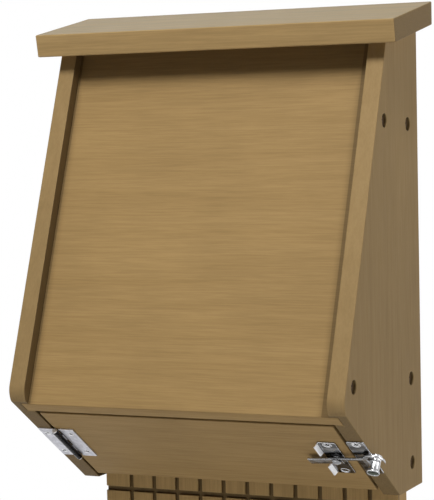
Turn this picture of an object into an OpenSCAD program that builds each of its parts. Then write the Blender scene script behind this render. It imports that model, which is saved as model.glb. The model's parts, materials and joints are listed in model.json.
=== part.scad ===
// Bat box with a sloping roof, a raked front and a hinged flap door that closes
// most of its underside. X runs across the box, Y towards the wall, Z up.
// The origin is on the back board's rear face, level with the sides' lower ends.

/* [Box] */
// Width over the two sides
box_w = 254; // [230:1:320]
// Thickness of the sides
side_t = 12.7; // [11:0.1:18]
// Depth of the sides from their back edge to the sharp lower front corner
side_depth = 160; // [140:1:200]
// Depth of the level lower end of the sides
bottom_depth = 50; // [44:1:58]
// Height of the lower front corner above the lower end
corner_z = 76; // [60:1:90]
// Height of the sides at their back edge
back_h = 332; // [280:1:420]
// Rake of the front edge off the vertical, in degrees
front_rake = 21.3; // [10:0.1:24]
// Radius of the rounded lower front corner
corner_r = 14; // [8:0.5:20]
// Where the rounding starts, measured up the front edge from the sharp corner
corner_start = 10; // [7:0.5:10]

/* [Roof] */
// Thickness of the roof board
roof_t = 16.4; // [12:0.1:22]
// Fall of the roof towards the front, in degrees
roof_fall = 10.5; // [6:0.5:16]
// Overhang of the roof past each side
roof_side_overhang = 12; // [6:1:30]
// Overhang of the roof past the top of the sides' front edges, level
roof_front_overhang = 15; // [8:1:40]

/* [Front panel] */
// Thickness of the front panel
panel_t = 11; // [9:0.5:15]
// Setback of the front panel behind the sides' front edges
panel_recess = 9; // [5:0.5:14]
// Depth of the grooves in the sides that hold the front panel
panel_groove = 6.3; // [4:0.1:7]

/* [Back board] */
// Thickness of the back board
board_t = 19; // [15:0.5:24]
// Setback of the back board's rear face from the sides' back edges
board_inset = 12; // [6:0.5:16]
// Width of the rebates in the sides' back edges that hold the back board
board_rebate = 4.5; // [3:0.1:6]
// Length of the back board below the sides, for landing
landing = 92; // [60:1:160]
// Spacing of the roosting grooves, both ways
grip_pitch = 19.4; // [15:0.1:25]
// Number of upright roosting grooves
grip_count = 11; // [5:2:11]
// Width of the roosting grooves
grip_w = 3.2; // [2:0.1:4]
// Depth of the roosting grooves
grip_depth = 2.4; // [1.5:0.1:4]
// Drop of the first level groove below the sides' lower ends
grip_drop = 12.3; // [8:0.1:16]

/* [Flap door] */
// Thickness of the flap door
door_t = 11; // [9:0.5:14]
// Gap between the flap door and each side
door_side_gap = 2; // [1.5:0.1:3]
// Gap between the flap door and the front panel
door_front_gap = 2.8; // [2:0.1:5]
// Setback of the flap door's lower edge from the sides' lower corner
door_setback = 7; // [3:0.5:12]

/* [Hinge] */
// Length of the hinge leaves
hinge_len = 44; // [38:1:60]
// Width of each leaf from the pin's axis
leaf_w = 14.3; // [13:0.1:15]
// Thickness of the leaves
leaf_t = 1.2; // [0.8:0.1:1.6]
// Radius of the knuckles
knuckle_r = 2.2; // [2:0.1:2.8]
// Radius of the hinge pin
pin_r = 1.1; // [0.8:0.05:1.3]
// Distance from the sharp corner down the slope to the hinge's middle
hinge_at = 70; // [60:1:85]
// Distance from the sides' inner faces to the pin's axis
pin_inset = 3.3; // [2.8:0.1:3.6]
// Spacing of the two screws in each leaf
hinge_screw_gap = 29.5; // [24:0.5:32]
// Distance from the pin's axis to the screws in each leaf
hinge_screw_out = 9.6; // [8:0.1:10.8]

/* [Latch] */
// Distance from the sharp corner down the slope to the latch's middle
latch_at = 72; // [60:1:80]
// Length of the latch plate down the slope
plate_len = 49; // [48:1:60]
// Gap between the latch plate and the edge of the flap door
plate_inset = 6.6; // [4:0.1:12]
// Width of the flat part of the latch plate
plate_w = 13.6; // [12:0.1:16]
// Thickness of the latch plate and the keeper plate
plate_t = 1; // [0.8:0.1:1.6]
// Radius of the plates' corners
plate_corner_r = 1.5; // [0.5:0.1:2.5]
// Rise of the latch plate's two tabs above its face
tab_rise = 3.2; // [2:0.1:4]
// Distance that the tabs lean out past the plate's edge
tab_lean = 1.8; // [1:0.1:3]
// Distance from the plate's ends to the tabs
tab_inset = 1.5; // [1:0.1:4]
// Spacing of the latch plate's screws
plate_screw_gap = 41; // [36:0.5:42]
// Offset of the rivet from the latch plate's middle, towards the keeper
rivet_offset = 1.4; // [0:0.1:2]
// Offset of the rivet from the latch plate's middle, up the slope
rivet_rise = 1.4; // [0:0.1:2]
// Width of the hook around its pivot and of its tail
hook_w = 7.4; // [6:0.1:9]
// Width of the hook's narrow neck
neck_w = 2.8; // [2:0.1:4]
// Reach of the hook's wide part past its pivot, towards the neck
hook_front = 4.5; // [3.5:0.1:8]
// Thickness of the hook
hook_t = 1.4; // [1:0.1:2]
// Height of the hook above the plates
hook_lift = 1.6; // [1.2:0.1:2.4]
// Reach of the hook's tail past its pivot
hook_tail = 21.5; // [12:0.5:24]
// Width of metal on the near side of the hook's throat
hook_wall = 3.8; // [2.5:0.1:5]
// Width of metal on the far side of the hook's throat
hook_tip = 1.4; // [1:0.1:3]
// Reach of the hook's near leg past the middle of its throat
hook_leg = 7; // [6:0.1:9]
// Turn of the hook, in degrees, before its tail meets the latch plate's lower tab
hook_swing = 22; // [20:1:28]
// Gap between the hook's throat and the keeper stud's rim
throat_gap = 0.9; // [0.5:0.1:1.5]
// Distance from the sharp corner down the slope to the keeper's middle
keeper_at = 69.5; // [60:0.5:80]
// Distance from the sharp corner down the slope to the keeper stud
stud_at = 67; // [62:0.5:74]
// Length of the keeper plate down the slope
keeper_len = 50; // [44:1:56]
// Distance of the keeper stud from the outside face of the side, outwards
stud_out = 2.4; // [0:0.1:2.5]
// Length of the keeper stud above its plate
stud_len = 12; // [8:0.5:16]
// Radius of the keeper stud
stud_r = 3.9; // [3:0.1:4.5]
// Radius of the keeper stud's rim
stud_rim_r = 4.6; // [4:0.1:5]
// Width of the rim
stud_rim_t = 1.4; // [0.8:0.1:2]
// Spacing of the keeper plate's screws
keeper_screw_gap = 41.5; // [36:0.5:43]

/* [Fastenings and fits] */
// Gap between a board's end and the groove that holds it
groove_fit = 0.15; // [0.1:0.05:0.3]
// Running clearance between the pin or rivet and its bore
bore_fit = 0.05; // [0.03:0.01:0.1]
// Clearance between moving metal faces
metal_gap = 0.35; // [0.3:0.05:0.6]
// Radius of the small screws' heads
small_head_r = 2.6; // [2.2:0.1:3]
// Radius of the latch screws' heads
latch_head_r = 3.6; // [2.8:0.1:3.8]
// Radius of the counterbores in the sides
sink_r = 4.75; // [4:0.05:6]
// Depth of the counterbores in the sides
sink_depth = 3.8; // [2:0.1:4.2]
// Length of the side screws' shanks
side_screw_len = 22; // [18:1:30]
// Distance from the roof down the front panel to its upper screws
panel_screw_drop = 62.5; // [40:0.5:90]
// Distance from the front panel's lower end up to its lower screws
panel_screw_rise = 23.8; // [18:0.1:40]
// Distance from the top of the sides down to the back board's top screws
board_screw_drop = 70; // [40:1:90]
// Height of the back board's middle screws
board_screw_mid = 80; // [60:1:110]
// Height of the back board's lowest screws
board_screw_low = 19; // [14:0.5:24]

/* [Hidden] */

$fn = 48;
over = 1; // how far a cutting shape runs past the face that it opens

wood = [0.60, 0.48, 0.31];
wood_dark = [0.52, 0.42, 0.28];
zinc = [0.72, 0.72, 0.74];
chrome = [0.80, 0.81, 0.83];
steel = [0.35, 0.33, 0.30];

inner_x = box_w / 2 - side_t;
back_y = board_inset;

// Directions in the side view, as [y, z]
up_front = [sin(front_rake), cos(front_rake)];
into_front = [cos(front_rake), -sin(front_rake)];
slope_run = [side_depth - bottom_depth, -corner_z];
slope_len = norm(slope_run);
slope_dir = slope_run / slope_len;
slope_angle = atan2(corner_z, side_depth - bottom_depth);
corner = [back_y - side_depth, corner_z];
heel = [back_y - bottom_depth, 0];
cross_ratio = slope_dir * into_front; // depth behind the front edge per length of slope

// Height of the roof's underside at depth y
function soffit(y) = back_h + (y - back_y) * tan(roof_fall);

// Point of the raked front at a setback, on the slope below or under the roof
function slope_point(setback) = corner + slope_dir * setback / cross_ratio;
function soffit_point(setback) =
    let (p = slope_point(setback))
    p + up_front * (soffit(p[0]) - p[1]) / (up_front[1] - up_front[0] * tan(roof_fall));

// The rounded corner leaves the front edge smoothly and meets the slope at a small angle
round_centre = corner + up_front * corner_start + into_front * corner_r;
round_reach = slope_dir * (corner - round_centre);
round_back = sqrt(round_reach * round_reach - corner_start * corner_start);
round_end = corner - slope_dir * (round_reach + round_back);
function heading(v) = atan2(v[1], v[0]);
round_from = heading(-into_front);
round_to = heading(round_end - round_centre);
round_turn = round_to + (round_to < 0 ? 360 : 0) - round_from;
round_steps = 10;
rounding = [for (i = [0:round_steps])
    let (a = round_from + round_turn * i / round_steps)
    round_centre + corner_r * [cos(a), sin(a)]];

// Roof section
roof_front_y = soffit_point(0)[0] - roof_front_overhang;

// Front panel section
panel_back = panel_recess + panel_t;
function panel_section(gap) = [
    slope_point(panel_recess - gap), slope_point(panel_back + gap),
    soffit_point(panel_back + gap), soffit_point(panel_recess - gap)
];

// Flap door, measured down the slope from the sharp corner
door_from = panel_back / cross_ratio + door_front_gap;
door_to = slope_len - door_setback;
door_w = 2 * (inner_x - door_side_gap);

// Hinge: its axis lies just inside the joint, with the knuckle clear of the door
pin_x = -inner_x + pin_inset;
pin_h = knuckle_r + metal_gap;
pin_bore_r = pin_r + bore_fit;
pin_head_edge = 0.3; // width of the knuckle left bare around the pin's head
pin_head_r = knuckle_r - pin_head_edge;
pin_head_t = 0.8;
knuckle_count = 5;
knuckle_len = hinge_len / knuckle_count;
side_screw_x = pin_x - hinge_screw_out;
door_screw_x = pin_x + hinge_screw_out;

// Small screws, heads flush with the leaf
small_shank_r = 1.4;
small_bite = 8;
pilot_gap = 0.1;

// Latch: the hook turns about a rivet in the plate and reaches the stud
rivet_r = 1.8;
rivet_head_r = 3.4;
rivet_head_t = 2;
plate_x = door_w / 2 - plate_inset - plate_w / 2;
rivet_x = plate_x + rivet_offset;
rivet_at = latch_at - rivet_rise;
hook_base = plate_t + hook_lift;
stud_x = box_w / 2 + stud_out;
hook_reach = norm([stud_x - rivet_x, rivet_at - stud_at]);
hook_tilt = atan2(rivet_at - stud_at, stud_x - rivet_x);
throat_r = stud_rim_r + throat_gap;
bow_r = throat_r + (hook_wall + hook_tip) / 2; // outer edge of the hook around its throat
bow_shift = (hook_wall - hook_tip) / 2;
keeper_x = inner_x + side_t / 2;
keeper_w = side_t;
lobe_edge = 0.4; // width of the keeper plate around the stud
lobe_r = stud_r + lobe_edge;
latch_bite = 8;
rivet_bite = 6;

// The latch plate's tabs leave room between them for the hook's tail over its whole turn
tab_reach = rivet_x - plate_x + plate_w / 2 + tab_lean;
tail_turn = hook_tilt + hook_swing;
tab_room = (hook_w / 2 + metal_gap) / cos(tail_turn) + tab_reach * tan(tail_turn);
tab_from = rivet_at + tab_room - latch_at;
tab_to = plate_len / 2 - tab_inset;

// Screws through the sides, as [y, z], at mid thickness of the boards that they hold
panel_screw_line = panel_recess + panel_t / 2;
side_screws = [
    soffit_point(panel_screw_line) - up_front * panel_screw_drop,
    slope_point(panel_screw_line) + up_front * panel_screw_rise,
    [-board_t / 2, back_h - board_screw_drop],
    [-board_t / 2, board_screw_mid],
    [-board_t / 2, board_screw_low]
];
side_shank_r = 2;
side_head_r = 4.2;
side_head_t = 2;

// Outline of a plate with rounded corners, centred on the origin
corner_steps = 5;
function rounded(w, len) = [
    for (q = [0:3], i = [0:corner_steps])
        let (a = 90 * (q + i / corner_steps), side = [q == 0 || q == 3 ? 1 : -1, q < 2 ? 1 : -1])
        [side[0] * (w / 2 - plate_corner_r), side[1] * (len / 2 - plate_corner_r)]
            + plate_corner_r * [cos(a), sin(a)]
];

// Extrude a side-view section across the box, centred on x
module across(width, x = 0)
{
    translate([x - width / 2, 0, 0])
        rotate([90, 0, 90])
            linear_extrude(height = width)
                children();
}

// Frame on the sloping underside: X across, Y up the slope, Z outwards
module on_slope(x = 0, down = 0, out = 0)
{
    translate([0, corner[0], corner[1]])
        rotate([180 - slope_angle, 0, 0])
            translate([x, -down, out])
                children();
}

module roof_board()
{
    fall = [cos(roof_fall), sin(roof_fall)];
    square_off = [-fall[1], fall[0]] * roof_t;
    front = [roof_front_y, soffit(roof_front_y)];
    color(wood_dark)
        across(box_w + 2 * roof_side_overhang)
            polygon([
                [back_y, back_h], front, front + square_off,
                [back_y, back_h + roof_t / cos(roof_fall)]
            ]);
}

// One side board with its groove, its rebate, its counterbores and its pilot holes, for x > 0
module side_board()
{
    difference() {
        across(side_t, inner_x + side_t / 2)
            polygon(concat(
                [[back_y, 0], [back_y, back_h], soffit_point(0)], rounding, [heel]
            ));
        across(2 * panel_groove, inner_x)
            polygon(let (s = panel_section(groove_fit), past = up_front * 2 * over) [
                s[0] - past, s[1] - past, s[2] + past, s[3] + past
            ]);
        across(2 * board_rebate, inner_x)
            translate([-board_t - groove_fit, -over])
                square([board_t + groove_fit + back_y + over, back_h + 3 * over]);
        for (at = side_screws)
            translate([0, at[0], at[1]])
                rotate([0, 90, 0]) {
                    cylinder(r = side_shank_r + pilot_gap, h = box_w);
                    translate([0, 0, box_w / 2 - sink_depth])
                        cylinder(r = sink_r, h = sink_depth + over);
                }
    }
}

// Screws in one side, for x > 0
module side_screw_set()
{
    head_x = box_w / 2 - sink_depth;
    for (at = side_screws)
        translate([0, at[0], at[1]])
            rotate([0, 90, 0]) {
                translate([0, 0, head_x])
                    cylinder(r = side_head_r, h = side_head_t);
                translate([0, 0, head_x - side_screw_len])
                    cylinder(r = side_shank_r, h = side_screw_len);
            }
}

// Holes that the side screws bite into, for the front panel and the back board
module side_screw_pilots(reach)
{
    for (at = side_screws, m = [0, 1])
        mirror([m, 0, 0])
            translate([0, at[0], at[1]])
                rotate([0, 90, 0])
                    translate([0, 0, box_w / 2 - sink_depth - side_screw_len - over])
                        cylinder(r = side_shank_r + pilot_gap, h = reach);
}

module left_side()
{
    color(wood)
        mirror([1, 0, 0])
            difference() {
                side_board();
                mirror([1, 0, 0])
                    hinge_pilots(side_screw_x);
            }
}

module right_side()
{
    color(wood)
        difference() {
            side_board();
            for (k = [-1, 1])
                on_slope(keeper_x, keeper_at + k * keeper_screw_gap / 2, -latch_bite - over)
                    cylinder(r = small_shank_r + pilot_gap, h = latch_bite + 2 * over);
        }
}

module front_panel()
{
    panel_w = 2 * (inner_x + panel_groove - groove_fit);
    color(wood)
        difference() {
            across(panel_w)
                polygon(panel_section(0));
            side_screw_pilots(side_screw_len + over);
        }
}

module back_board()
{
    board_w = 2 * (inner_x + board_rebate - groove_fit);
    level_count = floor((back_h - grip_pitch + grip_drop) / grip_pitch);
    low_count = floor((landing - grip_drop - grip_w) / grip_pitch);
    first_grip = -(grip_count - 1) / 2 * grip_pitch - grip_w / 2;
    color(wood)
        difference() {
            across(board_w)
                polygon([
                    [-board_t, -landing], [0, -landing], [0, soffit(0)], [-board_t, soffit(-board_t)]
                ]);
            for (i = [0:grip_count - 1])
                translate([first_grip + i * grip_pitch, -board_t - over, -landing - over])
                    cube([grip_w, grip_depth + over, landing + back_h + 2 * over]);
            for (i = [-low_count:level_count])
                translate([-board_w / 2 - over, -board_t - over, i * grip_pitch - grip_drop - grip_w / 2])
                    cube([board_w + 2 * over, grip_depth + over, grip_w]);
            side_screw_pilots(side_screw_len + over);
        }
}

module flap_door()
{
    color(wood)
        difference() {
            on_slope(0, door_to, -door_t)
                translate([-door_w / 2, 0, 0])
                    cube([door_w, door_to - door_from, door_t]);
            hinge_pilots(door_screw_x);
            for (k = [-1, 1])
                on_slope(plate_x, latch_at + k * plate_screw_gap / 2, -latch_bite - over)
                    cylinder(r = small_shank_r + pilot_gap, h = latch_bite + 2 * over);
            on_slope(rivet_x, rivet_at, -rivet_bite - over)
                cylinder(r = rivet_r + pilot_gap, h = rivet_bite + 2 * over);
        }
}

// Knuckles i of the hinge barrel that belong to one leaf, with a strip to the leaf
module leaf_body(odd, side)
{
    start = hinge_at + hinge_len / 2;
    strip_x = side < 0 ? -knuckle_r - metal_gap : 0;
    difference() {
        union() {
            on_slope(pin_x, start, 0)
                for (i = [0:knuckle_count - 1])
                    if (i % 2 == odd)
                        translate([0, i * knuckle_len + metal_gap / 2, pin_h])
                            rotate([-90, 0, 0])
                                cylinder(r = knuckle_r, h = knuckle_len - metal_gap);
            on_slope(pin_x, start, 0)
                translate([side < 0 ? -leaf_w : knuckle_r + metal_gap, 0, 0])
                    cube([leaf_w - knuckle_r - metal_gap, hinge_len, leaf_t]);
            on_slope(pin_x, start, 0)
                for (i = [0:knuckle_count - 1])
                    if (i % 2 == odd)
                        translate([strip_x, i * knuckle_len + metal_gap / 2, pin_h - knuckle_r])
                            cube([knuckle_r + metal_gap, knuckle_len - metal_gap, leaf_t - metal_gap]);
        }
        on_slope(pin_x, start + over, pin_h)
            rotate([-90, 0, 0])
                cylinder(r = pin_bore_r, h = hinge_len + 2 * over);
        for (k = [-1, 1])
            on_slope(side < 0 ? side_screw_x : door_screw_x, hinge_at + k * hinge_screw_gap / 2, 0)
                flush_screw(small_head_r, leaf_t, small_bite, pilot_gap, over);
    }
}

// A countersunk screw, or the hole for one, with its head flush with a plate's face
module flush_screw(head_r, thick, bite, gap = 0, proud = 0)
{
    translate([0, 0, -bite - proud])
        cylinder(r = small_shank_r + gap, h = bite + thick + proud);
    rotate_extrude()
        polygon([
            [0, 0], [small_shank_r + gap, 0], [head_r + gap, thick],
            [head_r + gap, thick + proud], [0, thick + proud]
        ]);
}

module hinge_pilots(x)
{
    for (k = [-1, 1])
        on_slope(x, hinge_at + k * hinge_screw_gap / 2, -small_bite - over)
            cylinder(r = small_shank_r + pilot_gap, h = small_bite + 2 * over);
}

module hinge_side_leaf()
{
    color(zinc)
        leaf_body(0, -1);
}

module hinge_door_leaf()
{
    color(zinc)
        leaf_body(1, 1);
}

module hinge_pin()
{
    start = hinge_at + hinge_len / 2;
    color(steel)
        on_slope(pin_x, start + pin_head_t, pin_h)
            rotate([-90, 0, 0]) {
                cylinder(r = pin_r, h = hinge_len + 2 * pin_head_t);
                cylinder(r = pin_head_r, h = pin_head_t);
                translate([0, 0, hinge_len + pin_head_t])
                    cylinder(r = pin_head_r, h = pin_head_t);
            }
}

module hinge_side_screws()
{
    color(zinc)
        for (k = [-1, 1])
            on_slope(side_screw_x, hinge_at + k * hinge_screw_gap / 2, 0)
                flush_screw(small_head_r, leaf_t, small_bite);
}

module hinge_door_screws()
{
    color(zinc)
        for (k = [-1, 1])
            on_slope(door_screw_x, hinge_at + k * hinge_screw_gap / 2, 0)
                flush_screw(small_head_r, leaf_t, small_bite);
}

// Latch plate, with two tabs that lean away from the door on either side of the hook
module latch_plate()
{
    left = -plate_w / 2;
    top = plate_t + tab_rise;
    color(chrome)
        difference() {
            union() {
                on_slope(plate_x, latch_at, 0)
                    linear_extrude(height = plate_t)
                        polygon(rounded(plate_w, plate_len));
                for (start = [tab_to, -tab_from])
                    on_slope(plate_x, latch_at + start, 0)
                        rotate([-90, 0, 0])
                            linear_extrude(height = tab_to - tab_from)
                                polygon([
                                    [left, 0], [left + plate_t, 0], [left + plate_t, -plate_t],
                                    [left + plate_t - tab_lean, -top], [left - tab_lean, -top]
                                ]);
            }
            for (k = [-1, 1])
                on_slope(plate_x, latch_at + k * plate_screw_gap / 2, 0)
                    flush_screw(latch_head_r, plate_t, latch_bite, pilot_gap, over);
            on_slope(rivet_x, rivet_at, -over)
                cylinder(r = rivet_r + pilot_gap, h = plate_t + 2 * over);
        }
}

// Rivet with a domed head, and the washer that holds the hook off the plate
module latch_rivet()
{
    top = hook_base + hook_t + metal_gap;
    dome_steps = 8;
    color(chrome)
        on_slope(rivet_x, rivet_at, 0) {
            translate([0, 0, -rivet_bite])
                cylinder(r = rivet_r, h = rivet_bite + top);
            translate([0, 0, plate_t])
                cylinder(r = rivet_head_r, h = hook_lift - metal_gap);
            translate([0, 0, top])
                rotate_extrude()
                    polygon(concat([[0, 0]], [
                        for (i = [0:dome_steps])
                            let (a = 90 * i / dome_steps)
                            [i == dome_steps ? 0 : rivet_head_r * cos(a), rivet_head_t * sin(a)]
                    ]));
        }
}

// Hook with a wide tail, a neck along its upper edge, and a throat that opens
// along an arc about the rivet, so that the stud leaves it as the hook turns
module latch_hook()
{
    room = hook_t + 2 * over;
    color(chrome)
        on_slope(rivet_x, rivet_at, hook_base)
            rotate([0, 0, hook_tilt])
                difference() {
                    union() {
                        translate([-hook_tail, -hook_w / 2, 0])
                            cube([hook_tail + hook_front, hook_w, hook_t]);
                        translate([0, hook_w / 2 - neck_w, 0])
                            cube([hook_reach - throat_r, neck_w, hook_t]);
                        translate([hook_reach - bow_shift, 0, 0])
                            cylinder(r = bow_r, h = hook_t);
                        translate([hook_reach - throat_r - hook_wall, -hook_leg, 0])
                            cube([hook_wall, hook_leg, hook_t]);
                    }
                    translate([0, 0, -over])
                        cylinder(r = rivet_r + bore_fit, h = room);
                    translate([hook_reach, 0, -over])
                        cylinder(r = throat_r, h = room);
                    throat_slot(room);
                }
}

// The open side of the hook's throat, one quarter of a ring about the rivet
module throat_slot(room)
{
    far = hook_reach + throat_r;
    intersection() {
        translate([0, -far, -over])
            cube([far, far, room]);
        difference() {
            translate([0, 0, -over])
                cylinder(r = far, h = room);
            translate([0, 0, -2 * over])
                cylinder(r = hook_reach - throat_r, h = room + 2 * over);
        }
    }
}

module latch_screws()
{
    color(chrome)
        for (k = [-1, 1])
            on_slope(plate_x, latch_at + k * plate_screw_gap / 2, 0)
                flush_screw(latch_head_r, plate_t, latch_bite);
}

module keeper_plate()
{
    color(chrome)
        difference() {
            union() {
                on_slope(keeper_x, keeper_at, 0)
                    linear_extrude(height = plate_t)
                        polygon(rounded(keeper_w, keeper_len));
                on_slope(stud_x, stud_at, 0)
                    cylinder(r = lobe_r, h = plate_t);
            }
            for (k = [-1, 1])
                on_slope(keeper_x, keeper_at + k * keeper_screw_gap / 2, 0)
                    flush_screw(latch_head_r, plate_t, latch_bite, pilot_gap, over);
        }
}

module keeper_stud()
{
    color(chrome)
        on_slope(stud_x, stud_at, plate_t) {
            cylinder(r = stud_r, h = stud_len);
            translate([0, 0, stud_len - stud_rim_t])
                cylinder(r = stud_rim_r, h = stud_rim_t);
        }
}

module keeper_screws()
{
    color(chrome)
        for (k = [-1, 1])
            on_slope(keeper_x, keeper_at + k * keeper_screw_gap / 2, 0)
                flush_screw(latch_head_r, plate_t, latch_bite);
}

module left_side_screws()
{
    color(steel)
        mirror([1, 0, 0])
            side_screw_set();
}

module right_side_screws()
{
    color(steel)
        side_screw_set();
}

roof_board();
left_side();
right_side();
front_panel();
back_board();
flap_door();
hinge_side_leaf();
hinge_door_leaf();
hinge_pin();
hinge_side_screws();
hinge_door_screws();
latch_plate();
latch_rivet();
latch_hook();
latch_screws();
keeper_plate();
keeper_stud();
keeper_screws();
left_side_screws();
right_side_screws();
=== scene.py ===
import json
import math

import bmesh
import bpy
from mathutils import Matrix, Vector


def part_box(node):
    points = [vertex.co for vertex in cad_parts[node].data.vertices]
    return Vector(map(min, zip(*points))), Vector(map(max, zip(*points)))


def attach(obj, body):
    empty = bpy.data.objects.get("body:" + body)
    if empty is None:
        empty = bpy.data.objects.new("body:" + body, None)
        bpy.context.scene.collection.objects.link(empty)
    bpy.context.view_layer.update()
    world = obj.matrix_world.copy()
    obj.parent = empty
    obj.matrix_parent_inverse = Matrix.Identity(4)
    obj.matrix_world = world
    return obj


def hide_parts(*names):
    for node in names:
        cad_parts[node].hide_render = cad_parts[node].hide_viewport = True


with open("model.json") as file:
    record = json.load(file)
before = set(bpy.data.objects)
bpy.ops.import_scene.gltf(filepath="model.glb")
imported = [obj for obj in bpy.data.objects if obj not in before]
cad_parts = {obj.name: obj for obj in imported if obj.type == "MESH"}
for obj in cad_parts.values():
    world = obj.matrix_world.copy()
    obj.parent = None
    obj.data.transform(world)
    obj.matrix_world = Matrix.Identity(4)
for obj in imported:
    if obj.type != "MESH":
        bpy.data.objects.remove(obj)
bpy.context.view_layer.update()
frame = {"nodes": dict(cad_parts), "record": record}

MM = 0.001
JOINTS = {j["name"]: j for j in frame["record"]["behaviour"]["joints"]}

# The underside slopes, and OUT points away from it.
OUT = Vector(JOINTS["hook_pivot"]["axis"]).normalized()
ACROSS = Vector((1, 0, 0))


# ---------------------------------------------------------------- camera and light

EYE = Vector((0.5606, -1.2827, 0.2650))
YAW = math.radians(24.71)
PITCH = math.radians(-5.34)
ROLL = math.radians(-1.40)
FOCAL = 3.757  # focal length over the frame's height
SHIFT = 0.1
BOX_MIDDLE = Vector((0, -0.08, 0.15))
FLOOR_Z = -0.45
FLOOR_SIZE = 6
FLOOR_FADE = (0.7, 1.4)  # distances from its middle over which the floor fades out
FLOOR_GLOW = 0.55  # share of its own light in the floor that the picture shows


def add_camera():
    """A camera at EYE, turned by YAW, PITCH and ROLL."""
    look = Vector((-math.sin(YAW) * math.cos(PITCH), math.cos(YAW) * math.cos(PITCH), math.sin(PITCH)))
    right = Vector((math.cos(YAW), math.sin(YAW), 0))
    up = right.cross(look)
    right_rolled = right * math.cos(ROLL) + up * math.sin(ROLL)
    up_rolled = up * math.cos(ROLL) - right * math.sin(ROLL)
    data = bpy.data.cameras.new("camera")
    data.sensor_width = 36
    data.lens = FOCAL * data.sensor_width
    data.shift_y = SHIFT
    cam = link(bpy.data.objects.new("camera", data))
    turn = Matrix((right_rolled, up_rolled, -look)).transposed()
    cam.matrix_world = Matrix.Translation(EYE) @ turn.to_4x4()
    bpy.context.scene.camera = cam


def link(obj):
    bpy.context.scene.collection.objects.link(obj)
    return obj


def add_lamp(name, direction, size, power, distance=1.8):
    """A round lamp that shines on the middle of the box from a direction."""
    data = bpy.data.lights.new(name, "AREA")
    data.shape = "DISK"
    data.size = size
    data.energy = power
    lamp = link(bpy.data.objects.new(name, data))
    towards = Vector(direction).normalized()
    lamp.location = BOX_MIDDLE + towards * distance
    lamp.rotation_euler = (-towards).to_track_quat("-Z", "Y").to_euler()
    lamp.visible_camera = False


def seen_directly(g):
    """1 for camera, glossy and transmission rays: what the picture shows, not what lights the object."""
    seen = g.math("MAXIMUM", g.path("Is Camera Ray"), g.path("Is Glossy Ray"))
    return g.math("MAXIMUM", seen, g.path("Is Transmission Ray"))


def add_world(fill):
    """A background that shows white and lights the object with a strength of fill."""
    world = bpy.data.worlds.new("studio")
    world.use_nodes = True
    bpy.context.scene.world = world
    g = Graph(world.node_tree)
    background = world.node_tree.nodes["Background"]
    g.link(g.mix_value(seen_directly(g), fill, 1), background.inputs["Strength"])
    background.inputs["Color"].default_value = (1, 1, 1, 1)


def add_floor():
    """A pale floor that takes the box's shadow, fades into the white background and is clear from below."""
    bpy.ops.mesh.primitive_plane_add(size=FLOOR_SIZE, location=(0, 0, FLOOR_Z))
    floor = bpy.context.object
    floor.name = "floor"
    mat, g, bsdf = new_material("pale_floor")
    bsdf.inputs["Base Color"].default_value = (0.9, 0.9, 0.9, 1)
    bsdf.inputs["Roughness"].default_value = 1
    bsdf.inputs["Specular IOR Level"].default_value = 0
    glow = g.node("ShaderNodeEmission")
    clear = g.node("ShaderNodeBsdfTransparent")
    seen = seen_directly(g)
    away = g.node("ShaderNodeVectorMath", operation="LENGTH")
    g.link(g.place(), away.inputs[0])
    faded = g.math("MULTIPLY", seen, g.ramp(away.outputs["Value"], *FLOOR_FADE))
    under = g.node("ShaderNodeNewGeometry").outputs["Backfacing"]
    lifted = g.mix_shader(g.math("MULTIPLY", seen, FLOOR_GLOW), bsdf.outputs[0], glow.outputs[0])
    out = mat.node_tree.nodes["Material Output"]
    g.link(g.mix_shader(g.most(faded, under), lifted, clear.outputs[0]), out.inputs["Surface"])
    floor.data.materials.append(mat)


# ---------------------------------------------------------------- shader graphs

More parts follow.
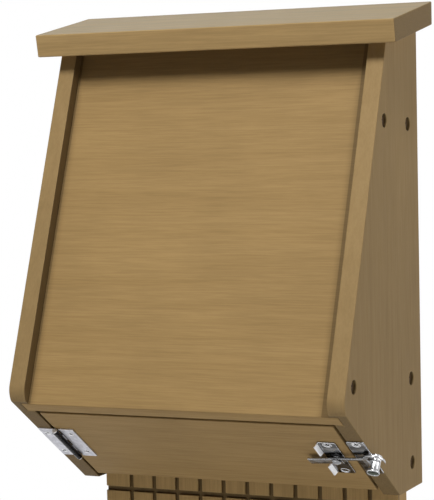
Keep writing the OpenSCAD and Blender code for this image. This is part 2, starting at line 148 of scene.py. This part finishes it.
class Graph:
    """Short names for the shader nodes used here."""

    def __init__(self, tree):
        self.tree = tree

    def node(self, kind, **settings):
        n = self.tree.nodes.new(kind)
        for key, value in settings.items():
            setattr(n, key, value)
        return n

    def link(self, source, socket):
        if hasattr(source, "is_output"):
            self.tree.links.new(source, socket)
        elif isinstance(source, (tuple, list, Vector)) and len(source) == 3 and socket.type == "RGBA":
            socket.default_value = (*source, 1)
        else:
            socket.default_value = source

    def path(self, name):
        return self.node("ShaderNodeLightPath").outputs[name]

    def math(self, kind, a, b=0.0):
        n = self.node("ShaderNodeMath", operation=kind)
        self.link(a, n.inputs[0])
        self.link(b, n.inputs[1])
        return n.outputs[0]

    def product(self, *values):
        result = values[0]
        for value in values[1:]:
            result = self.math("MULTIPLY", result, value)
        return result

    def most(self, *values):
        result = values[0]
        for value in values[1:]:
            result = self.math("MAXIMUM", result, value)
        return result

    def mix_value(self, factor, a, b):
        n = self.node("ShaderNodeMix", data_type="FLOAT")
        self.link(factor, n.inputs[0])
        self.link(a, n.inputs[2])
        self.link(b, n.inputs[3])
        return n.outputs[0]

    def mix(self, factor, a, b, blend="MIX"):
        n = self.node("ShaderNodeMix", data_type="RGBA", blend_type=blend)
        self.link(factor, n.inputs[0])
        self.link(a, n.inputs[6])
        self.link(b, n.inputs[7])
        return n.outputs[2]

    def mix_shader(self, factor, a, b):
        n = self.node("ShaderNodeMixShader")
        for socket, value in zip(n.inputs, (factor, a, b)):
            self.link(value, socket)
        return n.outputs[0]

    def ramp(self, value, low, high, to_low=0.0, to_high=1.0):
        n = self.node("ShaderNodeMapRange", interpolation_type="SMOOTHSTEP")
        for socket, v in zip(n.inputs, (value, low, high, to_low, to_high)):
            self.link(v, socket)
        return n.outputs[0]

    def place(self):
        return self.node("ShaderNodeTexCoord").outputs["Object"]

    def part(self, vector, axis):
        n = self.node("ShaderNodeSeparateXYZ")
        self.link(vector, n.inputs[0])
        return n.outputs["XYZ".index(axis)]

    def along(self, vector, direction):
        n = self.node("ShaderNodeVectorMath", operation="DOT_PRODUCT")
        self.link(vector, n.inputs[0])
        self.link(Vector(direction), n.inputs[1])
        return n.outputs["Value"]

    def normal(self):
        """The surface's direction in the piece's own frame, so that it turns with the piece."""
        n = self.node("ShaderNodeVectorTransform", vector_type="NORMAL",
                      convert_from="WORLD", convert_to="OBJECT")
        self.link(self.node("ShaderNodeNewGeometry").outputs["True Normal"], n.inputs[0])
        return n.outputs[0]

    def facing(self, direction, least=0.7, soft=0.15):
        """1 where the surface faces along a direction of the piece's own frame."""
        return self.ramp(self.along(self.normal(), direction), least - soft, least + soft)

    def stretched(self, vector, scale):
        n = self.node("ShaderNodeMapping")
        self.link(vector, n.inputs["Vector"])
        n.inputs["Scale"].default_value = scale
        return n.outputs[0]

    def noise(self, vector, scale, detail=4, roughness=0.55, distortion=0.0):
        n = self.node("ShaderNodeTexNoise")
        self.link(vector, n.inputs["Vector"])
        n.inputs["Scale"].default_value = scale
        n.inputs["Detail"].default_value = detail
        n.inputs["Roughness"].default_value = roughness
        n.inputs["Distortion"].default_value = distortion
        return n.outputs[0]

    def edge(self, radius):
        """1 on corners and bevels, 0 on the flats."""
        bevel = self.node("ShaderNodeBevel", samples=6)
        bevel.inputs["Radius"].default_value = radius
        n = self.node("ShaderNodeVectorMath", operation="DOT_PRODUCT")
        self.link(bevel.outputs[0], n.inputs[0])
        self.link(self.node("ShaderNodeNewGeometry").outputs["Normal"], n.inputs[1])
        return self.ramp(n.outputs["Value"], 0.995, 0.90)

    def bump(self, height, strength, distance, under=None):
        n = self.node("ShaderNodeBump")
        n.inputs["Strength"].default_value = strength
        n.inputs["Distance"].default_value = distance
        self.link(height, n.inputs["Height"])
        if under is not None:
            self.link(under, n.inputs["Normal"])
        return n.outputs[0]


def new_material(name):
    mat = bpy.data.materials.new(name)
    mat.use_nodes = True
    return mat, Graph(mat.node_tree), mat.node_tree.nodes["Principled BSDF"]


# ---------------------------------------------------------------- wood

STAIN = Vector((0.345, 0.222, 0.088))
GREY_STAIN = Vector((0.334, 0.222, 0.095))
# painted shade: the colour that the dark masks mix in
PAINTED_SHADE = Vector((0.050, 0.030, 0.010))
# painted sheen: the colour of the roof top's paler, greyer face
PAINTED_SHEEN = Vector((0.180, 0.152, 0.100))

# Noise scales along X, Y and Z that draw the pattern out along the grain
GRAIN = {"X": (3, 90, 90), "Z": (90, 90, 3)}


def stained_wood(name, grain, stain=STAIN, tone=1.0, lines=1.0, end_tone=0.85,
                 dark=None, pale=None):
    """Stained softwood. grain is the axis that it runs along, tone and end_tone scale the colour of the
    faces and of the cut ends, and lines scales the grain. dark gives a mask of painted shade and pale a
    mask of painted sheen, both from (g, place)."""
    mat, g, bsdf = new_material(name)
    place = g.place()
    drawn = g.stretched(place, GRAIN[grain])
    fibre = g.noise(drawn, 9, detail=5, roughness=0.7)
    rings = g.noise(g.stretched(place, [s * 0.22 for s in GRAIN[grain]]), 7, detail=2, distortion=0.5)
    clouds = g.noise(place, 11, detail=3)

    light = stain * tone * 1.03
    deep = Vector((stain.x * 0.95, stain.y * 0.94, stain.z * 0.92)) * tone
    colour = g.mix(g.ramp(rings, 0.30, 0.70), tuple(deep), tuple(light))
    colour = shaded(g, colour, g.ramp(fibre, 0.34, 0.66, 1 - 0.11 * lines, 1 + 0.05 * lines))
    colour = shaded(g, colour, g.ramp(clouds, 0.35, 0.65, 0.96, 1.03))
    colour = with_end_grain(g, place, colour, grain, deep * end_tone)
    colour = with_worn_edges(g, place, colour, deep)
    # painted sheen where the pale mask is set
    if pale:
        colour = g.mix(pale(g, place), colour, tuple(PAINTED_SHEEN * tone))
    # painted shade where the dark mask is set
    if dark:
        colour = g.mix(dark(g, place), colour, tuple(PAINTED_SHADE))
    g.link(colour, bsdf.inputs["Base Color"])

    g.link(g.ramp(fibre, 0.3, 0.7, 0.66, 0.54), bsdf.inputs["Roughness"])
    bsdf.inputs["Specular IOR Level"].default_value = 0.15
    saw = g.bump(fibre, 0.30 * lines, 0.20 * MM)
    g.link(g.bump(rings, 0.20, 0.4 * MM, under=saw), bsdf.inputs["Normal"])
    return mat


def shaded(g, colour, factor):
    """The colour made lighter or darker by a factor."""
    n = g.node("ShaderNodeCombineXYZ")
    for socket in n.inputs:
        g.link(factor, socket)
    return g.mix(1.0, colour, n.outputs[0], "MULTIPLY")


def with_end_grain(g, place, colour, grain, end_colour):
    """The colour, with pores on the faces that are cut across the grain."""
    long_axis = Vector([1.0 if grain == a else 0.0 for a in "XYZ"])
    cut = g.ramp(g.math("ABSOLUTE", g.along(g.normal(), long_axis)), 0.55, 0.85)
    pores = g.noise(place, 1100, detail=2)
    end = g.mix(g.ramp(pores, 0.40, 0.62), tuple(end_colour * 0.88), tuple(end_colour * 1.10))
    return g.mix(cut, colour, end)


def with_worn_edges(g, place, colour, deep):
    """The colour, rubbed darker in patches along the edges."""
    worn = g.edge(1.0 * MM)
    rub = g.product(worn, g.ramp(g.noise(place, 130, detail=3), 0.42, 0.62, 0.06, 0.35))
    return g.mix(rub, colour, tuple(deep * 0.50))


def panel_painted_shade(g, place):
    """Painted shade in the joints between the panel and the sides, wider at the right, with a painted dark
    line near each joint, and a painted shadow under the roof."""
    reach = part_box("flap_door")[1].x
    wider = 2.2 * MM
    roof_shade = 45 * MM
    panel_front = (0, -0.93, 0.36)
    across = g.math("ABSOLUTE", g.math("ADD", g.part(place, "X"), wider))
    # painted shade along the joints, and a painted dark line near them
    joints = g.ramp(across, reach - 7 * MM, reach + 1.5 * MM, 0, 0.45)
    seams = g.ramp(across, reach - 2.3 * MM, reach - 1.3 * MM, 0, 0.65)
    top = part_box("front_panel")[1].z
    # painted shadow of the roof on the panel's top
    under_roof = g.ramp(g.part(place, "Z"), top - roof_shade, top, 0, 0.45)
    return g.product(g.most(joints, seams, under_roof), g.facing(panel_front))


def side_painted_shade(g, place):
    """The sides' inner faces and the screws' counterbores carry painted shade, and the wood is darker
    towards the bottom."""
    inside = g.math("MULTIPLY", g.part(place, "X"), -1)
    towards_middle = g.product(g.math("SIGN", inside), g.part(g.normal(), "X"))
    # painted shade on the sides' inner faces
    inner_face = g.ramp(towards_middle, 0.6, 0.9, 0, 0.68)
    section = g.stretched(place, (0, 1, 1))
    nearest = 1.0
    for points in islands("right_side_screws"):
        foot, _, _, radius = turned_part(points, ACROSS)
        gap = g.node("ShaderNodeVectorMath", operation="DISTANCE")
        g.link(section, gap.inputs[0])
        gap.inputs[1].default_value = (0, foot.y, foot.z)
        nearest = g.math("MINIMUM", nearest, gap.outputs["Value"])
    # painted shade in the counterbores
    counterbore = g.ramp(nearest, radius + 0.85 * MM, radius + 0.5 * MM, 0, 0.55)
    # darker towards the bottom
    low_end = g.ramp(g.part(place, "Z"), 0.02, 0.24, 0.14, 0)
    return g.most(inner_face, counterbore, low_end)


def roof_painted_sheen(g, place):
    """Painted sheen: the roof's top face is paler and greyer, in streaks along the grain."""
    streaks = g.noise(g.stretched(place, GRAIN["X"]), 2, detail=4)
    return g.product(g.facing((0, 0, 1), 0.8), g.ramp(streaks, 0.35, 0.65, 0.70, 0.88))


def back_groove_shade(g, place):
    """Painted shade in the bottoms of the roosting grooves."""
    face_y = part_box("back_board")[0].y
    sunk = g.ramp(g.part(place, "Y"), face_y + 0.4 * MM, face_y + 1.6 * MM)
    front = g.ramp(g.part(place, "Y"), face_y + 3 * MM, face_y + 2.6 * MM)
    return g.product(sunk, front, 0.75)


# ---------------------------------------------------------------- metal

def zinc_plate():
    """Pale zinc leaves with painted highlights on their edges; the barrel that stands above them is painted
    near-black as a painted dark reflection.
    """
    mat, g, bsdf = new_material("zinc_plate")
    place = g.place()
    spangle = g.node("ShaderNodeTexVoronoi")
    g.link(place, spangle.inputs["Vector"])
    spangle.inputs["Scale"].default_value = 420
    tone = g.ramp(g.part(spangle.outputs["Color"], "X"), 0, 1)
    colour = g.mix(tone, (0.55, 0.55, 0.59), (0.65, 0.65, 0.70))
    stain = g.ramp(g.noise(place, 160, detail=4), 0.52, 0.74)
    colour = g.mix(g.math("MULTIPLY", stain, 0.35), colour, (0.34, 0.34, 0.36))
    # painted highlights: the leaves' edges are nearly white
    colour = g.mix(g.edge(0.5 * MM), colour, (0.95, 0.93, 0.91))
    leaf_back = extent("hinge_door_leaf", OUT)[0]
    # the barrel is painted near-black, a painted dark reflection
    barrel = g.ramp(g.along(place, OUT), leaf_back + 1.3 * MM, leaf_back + 2.0 * MM)
    reflection_streaks = g.ramp(g.noise(place, 500, detail=2), 0.4, 0.7)
    dark_reflection = g.mix(reflection_streaks, (0.012, 0.012, 0.013), (0.06, 0.06, 0.06))
    g.link(g.mix(barrel, colour, dark_reflection), bsdf.inputs["Base Color"])
    g.link(g.mix_value(barrel, g.ramp(tone, 0, 1, 0.46, 0.34), 0.25), bsdf.inputs["Roughness"])
    bsdf.inputs["Metallic"].default_value = 1
    g.link(g.bump(g.noise(place, 700, detail=3), 0.25, 0.05 * MM), bsdf.inputs["Normal"])
    return mat


def chrome(name, dark, light, rim=0.4, raised=None):
    """Chrome whose colour holds painted reflections, soft dark streaks between the dark and light tones,
    and painted highlights on its edges, rim mm wide. Where it stands above a raised height along OUT it
    carries a painted highlight too."""
    mat, g, bsdf = new_material(name)
    place = g.place()
    # painted reflections: soft dark streaks in the colour
    painted_reflections = g.noise(g.stretched(place, (0.3, 1, 1)), 150, detail=1, distortion=0.3)
    colour = g.mix(g.ramp(painted_reflections, 0.35, 0.68), grey_tone(dark), grey_tone(light))
    # painted highlights along the edges
    painted_highlights = g.edge(rim * MM)
    roughness = g.ramp(g.noise(place, 240, detail=4), 0.3, 0.7, 0.10, 0.22)
    if raised is not None:
        # a painted highlight on what stands above the raised height
        above = g.ramp(g.along(place, OUT), raised, raised + 0.3 * MM)
        painted_highlights = g.most(painted_highlights, above)
        roughness = g.mix_value(above, roughness, 0.45)
    colour = g.mix(painted_highlights, colour, grey_tone(0.93))
    g.link(colour, bsdf.inputs["Base Color"])
    g.link(roughness, bsdf.inputs["Roughness"])
    bsdf.inputs["Metallic"].default_value = 1
    g.link(g.bump(g.noise(place, 260, detail=2), 0.10, 0.10 * MM), bsdf.inputs["Normal"])
    return mat


def grey_tone(value):
    """A grey that is slightly blue."""
    return (value, value * 1.005, value * 1.02)


def steel_finish(name, tone, rust_level):
    """Steel with patches of rust, fewer as rust_level goes up."""
    mat, g, bsdf = new_material(name)
    place = g.place()
    rust = g.ramp(g.noise(place, 420, detail=4), rust_level, rust_level + 0.18)
    g.link(g.mix(rust, tuple(tone), (0.13, 0.075, 0.035)), bsdf.inputs["Base Color"])
    g.link(g.ramp(rust, 0, 1, 0.38, 0.85), bsdf.inputs["Roughness"])
    g.link(g.math("SUBTRACT", 1.0, rust), bsdf.inputs["Metallic"])
    g.link(g.bump(rust, 0.3, 0.08 * MM), bsdf.inputs["Normal"])
    return mat


# ---------------------------------------------------------------- shapes from the frame

WELD = 0.002 * MM  # points of a node that lie closer than this are one point


def extent(node, direction):
    """How far a node reaches along a direction, lowest and highest."""
    values = [v.co.dot(direction) for v in frame["nodes"][node].data.vertices]
    return min(values), max(values)


def islands(node):
    """The node's separate solids, each as a list of points."""
    bm = bmesh.new()
    bm.from_mesh(frame["nodes"][node].data)
    bmesh.ops.remove_doubles(bm, verts=bm.verts, dist=WELD)
    left = set(bm.verts)
    groups = []
    while left:
        grown, front = set(), [left.pop()]
        while front:
            vert = front.pop()
            grown.add(vert)
            near = {e.other_vert(vert) for e in vert.link_edges} & left
            left -= near
            front.extend(near)
        groups.append([v.co.copy() for v in grown])
    bm.free()
    return groups


def basis(out):
    """Two directions at right angles to out."""
    a = Vector((0, 1, 0)) if abs(out.x) > 0.9 else ACROSS
    return a, out.cross(a)


def turned_part(points, out):
    """Axis, height span and largest radius of a turned solid."""
    a, b = basis(out)
    middle = [(min(p.dot(d) for p in points) + max(p.dot(d) for p in points)) / 2 for d in (a, b)]
    heights = [p.dot(out) for p in points]
    foot = a * middle[0] + b * middle[1]
    radius = (max(p.dot(a) for p in points) - min(p.dot(a) for p in points)) / 2
    return foot, min(heights), max(heights), radius


def lathe(bm, foot, out, profile, segments=48):
    """Turns a profile of (radius, height along out) about the axis and gives back its rings."""
    a, b = basis(out)
    rings = []
    for radius, height in profile:
        turns = [2 * math.pi * i / segments for i in range(segments)]
        spread = [foot + out * height + (a * math.cos(t) + b * math.sin(t)) * radius for t in turns]
        rings.append([bm.verts.new(p) for p in spread])
    for low, high in zip(rings, rings[1:]):
        for i in range(segments):
            j = (i + 1) % segments
            bm.faces.new((low[i], low[j], high[j], high[i]))
    return rings


def cross_outline(foot, out, height, arm, half):
    """The corners of a cross with arms of a reach and a half width, at a height along out."""
    a, b = basis(out)
    corners = []
    for quarter in range(4):
        turn = math.radians(90 * quarter + 20)
        u = a * math.cos(turn) + b * math.sin(turn)
        v = b * math.cos(turn) - a * math.sin(turn)
        for x, y in ((arm, -half), (arm, half), (half, half)):
            corners.append(foot + out * height + u * x + v * y)
    return corners


# ---------------------------------------------------------------- pieces

FLAT = math.radians(0.8)  # faces that meet at less than this are one flat
CORNER = math.radians(32)  # edges that turn by more than this are rounded
CREASE = math.radians(50)  # edges that turn by more than this shade as sharp
SCREW_CREASE = math.radians(35)


def dressed(node, body, material, edge, segments=2):
    """A piece with the node's shape, rounded along its edges, in the node's place."""
    bm = bmesh.new()
    bm.from_mesh(frame["nodes"][node].data)
    bmesh.ops.remove_doubles(bm, verts=bm.verts, dist=WELD)
    bmesh.ops.dissolve_limit(bm, angle_limit=FLAT, verts=bm.verts, edges=bm.edges)
    corners = [e for e in bm.edges if e.calc_face_angle(0) > CORNER]
    bmesh.ops.bevel(bm, geom=corners, offset=edge, segments=segments, profile=0.5, affect="EDGES")
    for e in bm.edges:
        e.smooth = e.calc_face_angle(0) < CREASE
    obj = placed(bm, node, body, [material])
    level = obj.modifiers.new("level_flats", "WEIGHTED_NORMAL")
    level.weight = 100
    level.keep_sharp = True
    return obj


def placed(bm, node, body, materials):
    """The mesh as an object in the node's place, riding its body."""
    mesh = bpy.data.meshes.new(node + "_dressed")
    bm.to_mesh(mesh)
    bm.free()
    obj = link(bpy.data.objects.new(mesh.name, mesh))
    for material in materials:
        mesh.materials.append(material)
    mesh.shade_smooth()
    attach(obj, body)
    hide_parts(node)
    return obj


def screws(node, body, out, material, recess, head_t):
    """Cross-recess screws in the places, sizes and lengths of the node's solids."""
    rim, dish = 0.8, 0.12  # the head's flat and its sinking, as shares of the head's radius
    bm = bmesh.new()
    for points in islands(node):
        foot, low, high, radius = turned_part(points, out)
        shank = 0.45 * radius
        dished = high - dish * radius
        rings = lathe(bm, foot, out, [
            (0.1 * shank, low), (shank, low + 2 * shank), (shank, high - head_t),
            (0.97 * radius, high - 0.35 * head_t), (radius, high - 0.22 * head_t),
            (0.97 * radius, high - 0.06 * head_t), (0.92 * radius, high),
            (rim * radius + 0.04 * radius, high), (rim * radius, dished)
        ])
        bm.faces.new(list(reversed(rings[0])))
        add_recess(bm, rings[-1], foot, out, dished, radius)
    bmesh.ops.recalc_face_normals(bm, faces=bm.faces)
    obj = placed(bm, node, body, [material, recess])
    obj.data.set_sharp_from_angle(angle=SCREW_CREASE)
    return obj


def add_recess(bm, ring, foot, out, height, radius):
    """The flat of a screw head inside a ring, with a tapered cross sunk into it."""
    sunk = height - 0.4 * radius
    mouth_line = cross_outline(foot, out, height, 0.56 * radius, 0.15 * radius)
    floor_line = cross_outline(foot, out, sunk, 0.30 * radius, 0.09 * radius)
    mouth = [bm.verts.new(p) for p in mouth_line]
    floor = [bm.verts.new(p) for p in floor_line]
    count = len(mouth)
    for i in range(count):
        j = (i + 1) % count
        bm.faces.new((mouth[i], mouth[j], floor[j], floor[i])).material_index = 1
    bm.faces.new(floor).material_index = 1
    border = [bm.edges.get((loop[i], loop[(i + 1) % len(loop)]))
              for loop in (ring, mouth) for i in range(len(loop))]
    bmesh.ops.triangle_fill(bm, use_beauty=True, edges=border, normal=out)


def keeper_post(material, inside):
    """The keeper's stud: a tube with a flared rim and a dark, hollow end."""
    points = islands("keeper_stud")[0]
    foot, low, high, rim = turned_part(points, OUT)
    base = [p for p in points if p.dot(OUT) < low + 0.1 * MM]
    shaft = turned_part(base, OUT)[3]
    bm = bmesh.new()
    rings = lathe(bm, foot, OUT, [
        (shaft, low), (shaft, high - 2.6 * MM), (shaft + 0.1 * MM, high - 2.0 * MM),
        (rim - 0.1 * MM, high - 1.3 * MM), (rim, high - 0.9 * MM), (rim, high - 0.5 * MM),
        (rim - 0.15 * MM, high - 0.1 * MM), (rim - 0.35 * MM, high),
        (rim - 0.6 * MM, high - 0.15 * MM), (rim - 0.8 * MM, high - 0.5 * MM),
        (rim - 1.4 * MM, high - 1.6 * MM)
    ], segments=64)
    bm.faces.new(list(reversed(rings[0])))
    bm.faces.new(rings[-1]).material_index = 1
    deep = set(rings[-1]) | set(rings[-2])
    for face in bm.faces:
        if all(v in deep for v in face.verts):
            face.material_index = 1
    bmesh.ops.recalc_face_normals(bm, faces=bm.faces)
    obj = placed(bm, "keeper_stud", "box", [material, inside])
    obj.data.set_sharp_from_angle(angle=CREASE)


add_camera()
add_lamp("key", (0.12, -0.75, 1.06), 0.65, 28.5)
add_lamp("side_fill", (1, 0.1, 0.2), 1.2, 9.3)
add_lamp("overhead", (0, -0.1, 1), 1.2, 8)
add_lamp("low_fill", (-0.2, -0.80, -0.46), 0.4, 0.6, distance=0.85)
add_lamp("back_fill", (-0.45, 0.85, 0.05), 1.2, 10)
add_world(0.0)
add_floor()

zinc = zinc_plate()
plate_face = extent("keeper_plate", OUT)[1]
plates = chrome("chrome_plate", 0.05, 0.26, rim=0.9, raised=plate_face + 0.4 * MM)
hook_chrome = chrome("chrome_hook", 0.16, 0.50, rim=0.6)
rivet_chrome = chrome("chrome_rivet", 0.25, 0.65)
post_chrome = chrome("chrome_post", 0.30, 0.85)
screw_chrome = chrome("chrome_screw", 0.60, 0.90)
post_inside = steel_finish("post_inside", (0.10, 0.11, 0.09), 0.70)
# painted shade: the screws' cross recesses are near-black
recess = steel_finish("recess", (0.02, 0.02, 0.02), 0.70)
pin_steel = steel_finish("pin_steel", (0.92, 0.92, 0.93), 0.74)
sunk_steel = steel_finish("sunk_steel", (0.12, 0.08, 0.04), 0.36)

BOARD_EDGE = 0.7 * MM
# painted light: the roof is a lighter copy (tone 1.25) of the sides' grey stain
roof_wood = stained_wood("wood_roof", "X", GREY_STAIN, tone=1.25, end_tone=0.57, pale=roof_painted_sheen)
dressed("roof_board", "box", roof_wood, 0.9 * MM)
side_look = dict(grain="Z", stain=GREY_STAIN, lines=0.5, end_tone=0.64, dark=side_painted_shade)
# painted shade: the left side is a darker copy (tone 0.90) of the right side's wood
dressed("left_side", "box", stained_wood("wood_left", tone=0.90, **side_look), BOARD_EDGE)
dressed("right_side", "box", stained_wood("wood_right", **side_look), BOARD_EDGE)
dressed("front_panel", "box", stained_wood("wood_panel", "X", dark=panel_painted_shade), BOARD_EDGE)
# painted light: the back board is a lighter copy (tone 1.36) of the panel's stain, lifting the landing
back_wood = stained_wood("wood_back", "Z", tone=1.36, dark=back_groove_shade)
dressed("back_board", "box", back_wood, 0.4 * MM, segments=1)
# painted shade: the door is a darker copy (tone 0.95) of the panel's stain
dressed("flap_door", "door", stained_wood("wood_door", "X", tone=0.95), BOARD_EDGE)

dressed("hinge_side_leaf", "box", zinc, 0.2 * MM)
dressed("hinge_door_leaf", "door", zinc, 0.2 * MM)
dressed("hinge_pin", "box", pin_steel, 0.25 * MM)
screws("hinge_side_screws", "box", OUT, screw_chrome, recess, head_t=1.2 * MM)
screws("hinge_door_screws", "door", OUT, zinc, recess, head_t=1.2 * MM)

dressed("latch_plate", "door", plates, 0.25 * MM)
dressed("latch_rivet", "door", rivet_chrome, 0.15 * MM)
dressed("latch_hook", "hook", hook_chrome, 0.35 * MM)
screws("latch_screws", "door", OUT, screw_chrome, recess, head_t=1.0 * MM)
dressed("keeper_plate", "box", plates, 0.25 * MM)
screws("keeper_screws", "box", OUT, screw_chrome, recess, head_t=1.0 * MM)
keeper_post(post_chrome, post_inside)

screws("left_side_screws", "box", -ACROSS, sunk_steel, recess, head_t=2.0 * MM)
screws("right_side_screws", "box", ACROSS, sunk_steel, recess, head_t=2.0 * MM)

scene = bpy.context.scene
scene.view_settings.view_transform = "Standard"
